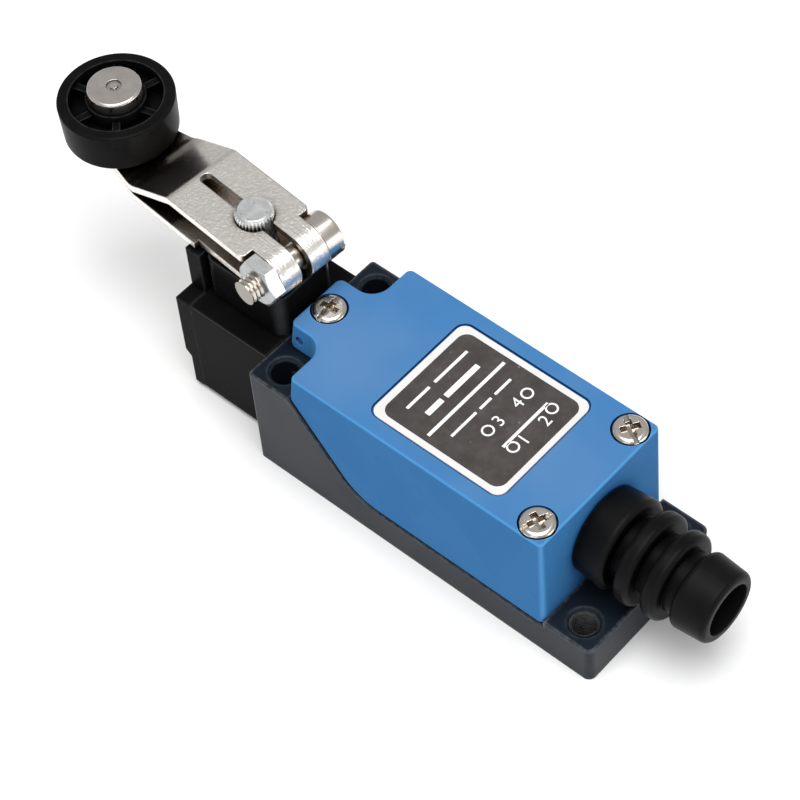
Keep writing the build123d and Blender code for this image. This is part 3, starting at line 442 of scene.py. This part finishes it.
# %% Rubber and nylon
wear(
    surface(
        "boot_rubber", (0.0045, 0.0045, 0.0047), (0.0065, 0.0065, 0.0068), (0.34, 0.46), 0.058,
        patch=0.2, grain=9.0, soften=0.2,
        edge=0.2, edge_color=(0.035, 0.035, 0.035), edge_share=0.7,
        painted_shade=0.97, painted_shade_reach=4.0, painted_shade_window=(0.88, 0.4),
    ),
    "cable_boot",
)
wear(
    surface(
        "gasket_rubber", (0.012, 0.012, 0.012), (0.02, 0.02, 0.02), (0.6, 0.75), 0.2,
        patch=0.5, grain=9.0, relief=0.1, edge=0.05,
    ),
    "cover_gasket", "head_seal", "shaft_seal",
)
wear(
    surface(
        "roller_nylon", (0.0045, 0.0045, 0.0045), (0.007, 0.007, 0.0068), (0.26, 0.38), 0.03,
        grain=6.0, relief=0.04, edge=0.14, edge_color=(0.05, 0.05, 0.05), edge_share=0.8,
        painted_shade=0.9, painted_shade_reach=2.5, painted_shade_window=(0.9, 0.3),
    ),
    "roller",
)

# %% [markdown]
# Plated steel shows three tones here: warm nickel on the screws, cooler zinc on nut and shaft, and
# a brushed rivet. All get a painted highlight on their edges and a painted shade in their hollows,
# brownish in the screws' recesses. The first two are used twice, because the clamp screw and its
# nut get a painted shade of their own in the next step.

# %% Plated steel
def nickel(name):
    return surface(
        name, (0.80, 0.75, 0.68), (0.70, 0.65, 0.58), (0.16, 0.28), metallic=1.0,
        patch=0.6, relief=0.05, edge=0.12, edge_color=(0.92, 0.9, 0.86),
        painted_shade=0.9, painted_shade_color=(0.42, 0.37, 0.31), painted_shade_window=(0.9, 0.5),
    )


def zinc(name):
    return surface(
        name, (0.95, 0.97, 0.96), (0.82, 0.84, 0.84), (0.24, 0.42), metallic=1.0,
        patch=0.8, grain=1.4, relief=0.16, specks_and_glints=(1.1, 0.3, (0.62, 0.64, 0.64)),
        edge=0.12, edge_color=(0.95, 0.96, 0.96),
        painted_shade=0.9, painted_shade_color=(0.05, 0.05, 0.045), painted_shade_reach=1.2,
    )


wear(nickel("screw_nickel"),
     "cover_screws", "head_screws", "terminal_screws", "case_screws", "earth_screw")
wear(zinc("zinc"), "actuator_shaft")
wear(
    surface(
        "rivet_steel", (0.80, 0.75, 0.71), (0.50, 0.45, 0.42), (0.22, 0.4), metallic=1.0,
        patch=0.45, grain=1.5, relief=0.12, edge=0.15, edge_color=(0.9, 0.88, 0.85),
        painted_shade=0.97, painted_shade_reach=5.0, painted_shade_window=(0.7, 0.45),
    ),
    "roller_rivet", "roller_washer",
)

# %% [markdown]
# The end faces of the clamp screw and its nut get a painted shade: they are darker than the
# plating around them. The normal picks them out, because they look along -Y.

# %% Painted shade on the ends of clamp screw and nut
SCREW_END_SHADE = (-0.93, -0.98)
NUT_END_SHADE = (-0.6, -0.8)


def painted_end_shade(material, face_window, color):
    # Painted shade: faces whose normal lies in the window are darkened towards the given colour.
    tree = material.node_tree
    base = tree.nodes["Principled BSDF"].inputs["Base Color"]
    plating = base.links[0].from_node
    axes = directions(tree, tree.nodes.new("ShaderNodeTexCoord"))
    shaded_end_face = window(tree, axes, "Y", *face_window)
    tree.links.new(blend_colors(tree, shaded_end_face, plating, color).outputs[COLOR_OUT], base)
    return material


wear(painted_end_shade(nickel("nickel_end_shade"), SCREW_END_SHADE, (0.30, 0.27, 0.24)), "clamp_screw")
wear(painted_end_shade(zinc("zinc_end_shade"), NUT_END_SHADE, (0.46, 0.48, 0.48)), "clamp_nut")

# %% [markdown]
# The lever is folded from nickel-plated sheet. Its flat top has a coarse, sandy grain with a few
# white specks as painted glints, its edges are darker in colour, and the gap between its two
# layers gets a dark, warm painted shade.

# %% Lever nickel
SAND_DETAIL, SAND_ROUGHNESS = 4.0, 0.45
lever_nickel = surface(
    "lever_nickel", (1.0, 0.965, 0.92), (0.80, 0.755, 0.70), (0.28, 0.42), metallic=1.0,
    patch=1.6, grain=2.4, relief=1.0, depth=0.19, soften=0.28,
    edge=0.13, edge_color=(0.60, 0.565, 0.53), edge_share=0.85,
    painted_shade=0.97, painted_shade_color=(0.17, 0.125, 0.09), painted_shade_reach=6.0, painted_shade_window=(0.86, 0.6),
    specks_and_glints=(1.6, 0.34, (1.0, 1.0, 1.0)),
)
wear(lever_nickel, "lever_arm")
lever_tree = lever_nickel.node_tree
lever_tree.nodes["fine_grain"].inputs["Detail"].default_value = SAND_DETAIL
lever_tree.nodes["fine_grain"].inputs["Roughness"].default_value = SAND_ROUGHNESS

# %% [markdown]
# The pressed slope before the roller is drawn smooth and mirrors the roller. A dot product with
# the lever's direction tells how far along the lever a point lies, in millimetres. From the bend
# on, towards the roller, roughness and grain fall away.

# %% Smooth slope
LEVER_TURN = math.radians(5.3)
SHAFT_X = -41.2
shaft_along = SHAFT_X * math.cos(LEVER_TURN)
BEND = (shaft_along - 12.6, shaft_along - 11.6)
SMOOTH_ROUGHNESS = 0.2
SMOOTH_GRAIN, SANDY_GRAIN = 0.006, 0.35
lever_shader = lever_tree.nodes["Principled BSDF"]
grain_bump = lever_tree.nodes["grain_bump"]
coords = lever_tree.nodes.new("ShaderNodeTexCoord")
along = lever_tree.nodes.new("ShaderNodeVectorMath")
along.operation = "DOT_PRODUCT"
along.inputs[1].default_value = (math.cos(LEVER_TURN) / MM, -math.sin(LEVER_TURN) / MM, 0)
link(lever_tree, coords, "Object", along, 0)
flat_top = window(lever_tree, along, "Value", *BEND)


def change_at_bend(smooth):
    pick = lever_tree.nodes.new("ShaderNodeMix")
    pick.data_type = "FLOAT"
    pick.inputs[NUMBER_A].default_value = smooth
    link(lever_tree, flat_top, "Result", pick, NUMBER_MIX)
    return pick


roughness = change_at_bend(SMOOTH_ROUGHNESS)
link(lever_tree, lever_tree.nodes["roughness_range"], "Result", roughness, NUMBER_B)
link(lever_tree, roughness, NUMBER_OUT, lever_shader, "Roughness")
sand = change_at_bend(SMOOTH_GRAIN)
sand.inputs[NUMBER_B].default_value = SANDY_GRAIN
link(lever_tree, sand, NUMBER_OUT, grain_bump, "Strength")
print("lever grain fades over", round(BEND[1] - BEND[0], 2), "mm at the bend")

# %% [markdown]
# Where the sheet was folded over the clamp screw, the tool left fine marks along the lever. They
# are a noise that is stretched along the lever by a Mapping node, laid as relief on top of the
# grain.

# %% Marks of the fold
FOLD = (shaft_along + 2.5, shaft_along + 4.5)
MARK_SIZE = (4.0 * MM, 0.42 * MM, 4.0 * MM)
MARK_STRENGTH = 0.5
MARK_DEPTH = 0.2
turned = lever_tree.nodes.new("ShaderNodeMapping")
turned.vector_type = "TEXTURE"
turned.inputs["Rotation"].default_value = (0, 0, -LEVER_TURN)
turned.inputs["Scale"].default_value = MARK_SIZE
link(lever_tree, coords, "Object", turned, "Vector")
creases = lever_tree.nodes.new("ShaderNodeTexNoise")
creases.inputs["Scale"].default_value = 1.0
link(lever_tree, turned, "Vector", creases, "Vector")
drawn = lever_tree.nodes.new("ShaderNodeBump")
drawn.inputs["Distance"].default_value = MARK_DEPTH * MM
folded = window(lever_tree, along, "Value", *FOLD, high=MARK_STRENGTH)
link(lever_tree, folded, "Result", drawn, "Strength")
link(lever_tree, creases, "Fac", drawn, "Height")
link(lever_tree, grain_bump, "Normal", drawn, "Normal")
link(lever_tree, drawn, "Normal", lever_shader, "Normal")
print("marks of the fold begin", round(FOLD[0] - shaft_along, 2), "mm past the shaft's axis")

# %% [markdown]
# The pieces inside are never seen in the portrait, but they get their real finishes as well: red
# and black mouldings, white acetal, brass contacts, bronze and spring wire.

# %% Inner pieces
wear(surface("bronze", (0.5, 0.33, 0.14), (0.4, 0.26, 0.11), (0.3, 0.45), metallic=1.0),
     "shaft_bush")
wear(surface("brass", (0.72, 0.5, 0.2), (0.62, 0.43, 0.17), (0.2, 0.32), metallic=1.0),
     "terminals", "contact_bridge")
wear(surface("spring_wire", (0.5, 0.5, 0.5), (0.4, 0.4, 0.4), (0.25, 0.35), metallic=1.0),
     "plunger_spring", "contact_spring")
wear(surface("acetal", (0.72, 0.7, 0.64), (0.66, 0.64, 0.58), (0.35, 0.45)),
     "plunger", "cam")
wear(surface("phenolic", (0.02, 0.02, 0.02), (0.03, 0.028, 0.026), (0.3, 0.4)),
     "switch_case")
wear(surface("red_moulding", (0.35, 0.03, 0.025), (0.3, 0.025, 0.02), (0.3, 0.4)),
     "switch_lid", "switch_button")

# %% [markdown]
# The plate is sheet metal with a white coat. On the real switch a dark field is printed on it. The
# field and its marks are modelled as thin films of ink that lie on the plate, because print that
# is real geometry stays crisp in every view.

# %% Plate and inks
PLATE_TOP = 24.85
INK = 0.03
wear(
    surface(
        "plate_white", (0.72, 0.71, 0.705), (0.67, 0.66, 0.655), (0.3, 0.4), 0.3,
        patch=0.3, grain=6.0, relief=0.02, edge=0.1,
    ),
    "nameplate",
)
field_ink = surface(
    "field_ink", (0.046, 0.040, 0.037), (0.080, 0.070, 0.066), (0.28, 0.42), 0.3,
    patch=0.35, grain=8.0, relief=0.04, edge=0.05, specks_and_glints=(0.55, 0.12, (0.2, 0.19, 0.18)),
)
white_ink = surface(
    "white_ink", (0.84, 0.83, 0.82), (0.78, 0.77, 0.76), (0.35, 0.45), 0.3,
    patch=1.2, grain=8.0, relief=0.03, edge=0.05,
)
print("inks:", field_ink.name, "and", white_ink.name)

# %% [markdown]
# Each film starts as a plane at its size and place, gets its outline in edit mode and is pulled up
# to the thickness of the ink. At the end doubles are merged, the normals are made to point
# outwards, and the place goes into the mesh, so that the object sits at the origin like every CAD
# node.

# %% Film helpers
CORNER_STEPS = 8


def at(x, y, z):
    return (x * MM, y * MM, z * MM)


def start_plane(length_x, length_y, place):
    bpy.ops.object.select_all(action="DESELECT")
    bpy.ops.mesh.primitive_plane_add(size=length_x * MM, location=place)
    bpy.ops.object.mode_set(mode="EDIT")
    bpy.ops.mesh.select_all(action="SELECT")
    bpy.ops.transform.resize(value=(1, length_y / length_x, 1), center_override=place)


def end_edit(name, material):
    bpy.ops.mesh.select_all(action="SELECT")
    bpy.ops.mesh.remove_doubles(threshold=0.0005 * MM)
    bpy.ops.mesh.normals_make_consistent(inside=False)
    bpy.ops.object.mode_set(mode="OBJECT")
    bpy.ops.object.transform_apply(location=True, rotation=True, scale=True)
    piece = bpy.context.object
    piece.name = name
    piece.data.name = name
    piece.data.materials.clear()
    piece.data.materials.append(material)
    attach(piece, "housing")
    return piece


def film(name, length_x, length_y, place, corner, material):
    start_plane(length_x, length_y, place)
    if corner:
        bpy.ops.mesh.bevel(offset=corner * MM, segments=CORNER_STEPS, affect="VERTICES")
    bpy.ops.mesh.extrude_region_move(TRANSFORM_OT_translate={"value": at(0, 0, INK)})
    return end_edit(name, material)


print("films are", INK, "mm thick and lie from", PLATE_TOP, "mm up")

# %% [markdown]
# The dark field is a rounded rectangle, a little smaller than the plate, so that the plate's white
# coat stays open round it as a frame. It is the first film.

# %% Dark field
FIELD_X = (-9.6, 12.45)
FIELD_WIDTH = 18.64
FIELD_CORNER = 1.7
label_field = film(
    "label_field", FIELD_X[1] - FIELD_X[0], FIELD_WIDTH,
    at(sum(FIELD_X) / 2, 0, PLATE_TOP), FIELD_CORNER, field_ink,
)
print("field", [round(value / MM, 2) for value in label_field.dimensions])

# %% [markdown]
# White marks lie on the field. A stroke is a plain film. A ring could be cut out of a disc, but it
# is quicker to spin: the outline of a small upright rectangle goes once round the ring's centre.

# %% Strokes and rings
MARK_BOTTOM = PLATE_TOP + INK
RING_STEPS = 48


def stroke(length_x, length_y, center_x, center_y, corner=0.0):
    place = at(center_x, center_y, MARK_BOTTOM)
    return film("stroke", length_x, length_y, place, corner, white_ink)


def ring(center_x, center_y, radius, width):
    place = at(center_x + radius, center_y, MARK_BOTTOM + INK / 2)
    start_plane(width, INK, place)
    bpy.ops.transform.rotate(value=math.radians(90), orient_axis="X", center_override=place)
    bpy.ops.mesh.delete(type="ONLY_FACE")
    bpy.ops.mesh.select_all(action="SELECT")
    bpy.ops.mesh.spin(
        steps=RING_STEPS, angle=2 * math.pi, center=at(center_x, center_y, 0), axis=(0, 0, 1),
    )
    return end_edit("ring", white_ink)


print("marks lie from", round(MARK_BOTTOM, 2), "mm up")

# %% [markdown]
# A number is a text object. Its size is that of a whole line, of which a numeral takes about seven
# tenths. It becomes a mesh before it is turned, because only a mesh can take its place into
# itself.

# %% Numbers
CAPITAL_SHARE = 0.7


def digit(text, center_x, center_y, height):
    place = at(center_x, center_y, MARK_BOTTOM + INK / 2)
    bpy.ops.object.select_all(action="DESELECT")
    bpy.ops.object.text_add(location=place)
    piece = bpy.context.object
    piece.data.body = text
    piece.data.size = height / CAPITAL_SHARE * MM
    piece.data.align_x = "CENTER"
    piece.data.align_y = "CENTER"
    piece.data.extrude = INK / 2 * MM
    bpy.ops.object.convert(target="MESH")
    bpy.ops.object.mode_set(mode="EDIT")
    bpy.ops.mesh.select_all(action="SELECT")
    bpy.ops.transform.rotate(value=math.radians(-90), orient_axis="Z", center_override=place)
    return end_edit("digit", white_ink)


print("a text of size 1 has numerals about", CAPITAL_SHARE, "high")

# %% [markdown]
# What repeats is modelled once. A copy gets a mesh of its own and is moved in edit mode, so that
# its object stays at the origin. Marks that are printed in one go are joined into one piece.

# %% Copies and joins
def moved_copy(piece, shift):
    bpy.ops.object.select_all(action="DESELECT")
    piece.select_set(True)
    bpy.context.view_layer.objects.active = piece
    bpy.ops.object.duplicate()
    bpy.ops.object.mode_set(mode="EDIT")
    bpy.ops.mesh.select_all(action="SELECT")
    bpy.ops.transform.translate(value=shift)
    bpy.ops.object.mode_set(mode="OBJECT")
    return bpy.context.object


def join(name, parts):
    bpy.ops.object.select_all(action="DESELECT")
    for part in parts:
        part.select_set(True)
    bpy.context.view_layer.objects.active = parts[0]
    bpy.ops.object.join()
    parts[0].name = name
    parts[0].data.name = name
    print(name, "joined from", len(parts), "parts")
    return parts[0]


# %% [markdown]
# The marks are a plain contact diagram: a divider, four rings for the terminals, a bar for the
# closed contact, and the numbers 1 to 4. Beside it runs a group of plain dashes.

# %% Marks
DIVIDER = (0.55, 16.7, -1.4, 0.0)
CONTACT_BAR = (0.5, 9.9, 8.1, 1.65)
RINGS = ((4.6, -2.4), (4.7, 6.1), (9.2, -2.4), (9.15, 6.2))
RING_RADIUS, RING_WIDTH = 0.85, 0.3
DIGITS = (("3", 4.75, -0.15), ("4", 4.78, 3.95), ("1", 9.6, -0.45), ("2", 9.85, 3.95))
DIGIT_HEIGHT = 2.0
DASH_CORNER = 0.12
DASHES = (
    (-6.9, 0.5, ((-6.6, -1.7), (-0.6, 6.6))),
    (-4.0, 0.95, ((-5.6, -2.3), (-1.5, 5.6))),
    (1.25, 0.45, ((-6.4, -1.0), (-0.2, 2.3), (3.1, 6.6))),
)
first_x, first_y = RINGS[0]
first_ring = ring(first_x, first_y, RING_RADIUS, RING_WIDTH)
marks = [stroke(*DIVIDER), first_ring]
marks += [moved_copy(first_ring, at(x - first_x, y - first_y, 0)) for x, y in RINGS[1:]]
marks += [stroke(*CONTACT_BAR)]
marks += [digit(text, x, y, DIGIT_HEIGHT) for text, x, y in DIGITS]
for x, height, ends in DASHES:
    for begin, end in ends:
        marks += [stroke(height, end - begin, x, (begin + end) / 2, DASH_CORNER)]
label_marks = join("label_marks", marks)
print("marks:", len(label_marks.data.polygons), "faces")

# %% [markdown]
# The two screw holes by the cable entry are tapped. A thread is a ridge that winds along the wall
# of the hole. Its section is a small triangle that points inwards: with a radius of 1, it is 1.5
# deep and root 3 high. The primitive is added on the axis of the hole and moved out to the wall in
# edit mode, because the Screw modifier winds a section round its object's origin, one pitch higher
# with each turn. The second thread is a moved copy of the first.

# %% Threads in the foot
HOLE_X, HOLE_Y, HOLE_RADIUS = 28.0, 10.0, 2.15
PITCH, TURNS = 0.7, 9
RIDGE, ROOTED = 0.3, 0.05
GROOVE_FLOOR = 0.08
THREAD_LOW = 0.25
TURN_STEPS = 40
# The thread gets a painted highlight on its edges and a painted shade in its grooves.
thread_paint = surface(
    "thread_paint", (0.012, 0.013, 0.015), (0.03, 0.032, 0.035), (0.25, 0.4), 0.4,
    patch=1.0, grain=6.0, relief=0.05, edge=0.08, edge_color=(0.09, 0.09, 0.1), edge_share=0.8,
    painted_shade=0.5, painted_shade_reach=1.0,
)


def wind_thread(center_x, center_y):
    center = at(center_x, center_y, THREAD_LOW + PITCH / 2)
    radius = (RIDGE + ROOTED) / 1.5
    side = math.sqrt(3) * radius
    bpy.ops.object.select_all(action="DESELECT")
    bpy.ops.mesh.primitive_circle_add(
        vertices=3, radius=radius * MM, fill_type="NGON", location=center,
    )
    bpy.ops.object.mode_set(mode="EDIT")
    bpy.ops.mesh.select_all(action="SELECT")
    bpy.ops.transform.rotate(value=math.radians(-90), orient_axis="Z", center_override=center)
    bpy.ops.transform.rotate(value=math.radians(90), orient_axis="X", center_override=center)
    bpy.ops.transform.resize(value=(1, 1, (PITCH - GROOVE_FLOOR) / side), center_override=center)
    bpy.ops.transform.translate(value=at(HOLE_RADIUS + ROOTED - radius / 2, 0, 0))
    bpy.ops.object.mode_set(mode="OBJECT")
    piece = bpy.context.object
    corners = [[round(value / MM, 2) for value in corner.co] for corner in piece.data.vertices]
    print("thread section, corners in mm:", corners)
    winding = piece.modifiers.new("winding", "SCREW")
    winding.angle = 2 * math.pi
    winding.screw_offset = PITCH * MM
    winding.iterations = TURNS
    winding.steps = winding.render_steps = TURN_STEPS
    winding.use_merge_vertices = False
    bpy.ops.object.modifier_apply(modifier="winding")
    bpy.ops.object.mode_set(mode="EDIT")
    return end_edit("thread", thread_paint)


right_thread = wind_thread(HOLE_X, -HOLE_Y)
left_thread = moved_copy(right_thread, at(0, 2 * HOLE_Y, 0))
foot_threads = join("foot_threads", [right_thread, left_thread])
print("threads:", len(foot_threads.data.polygons), "faces")
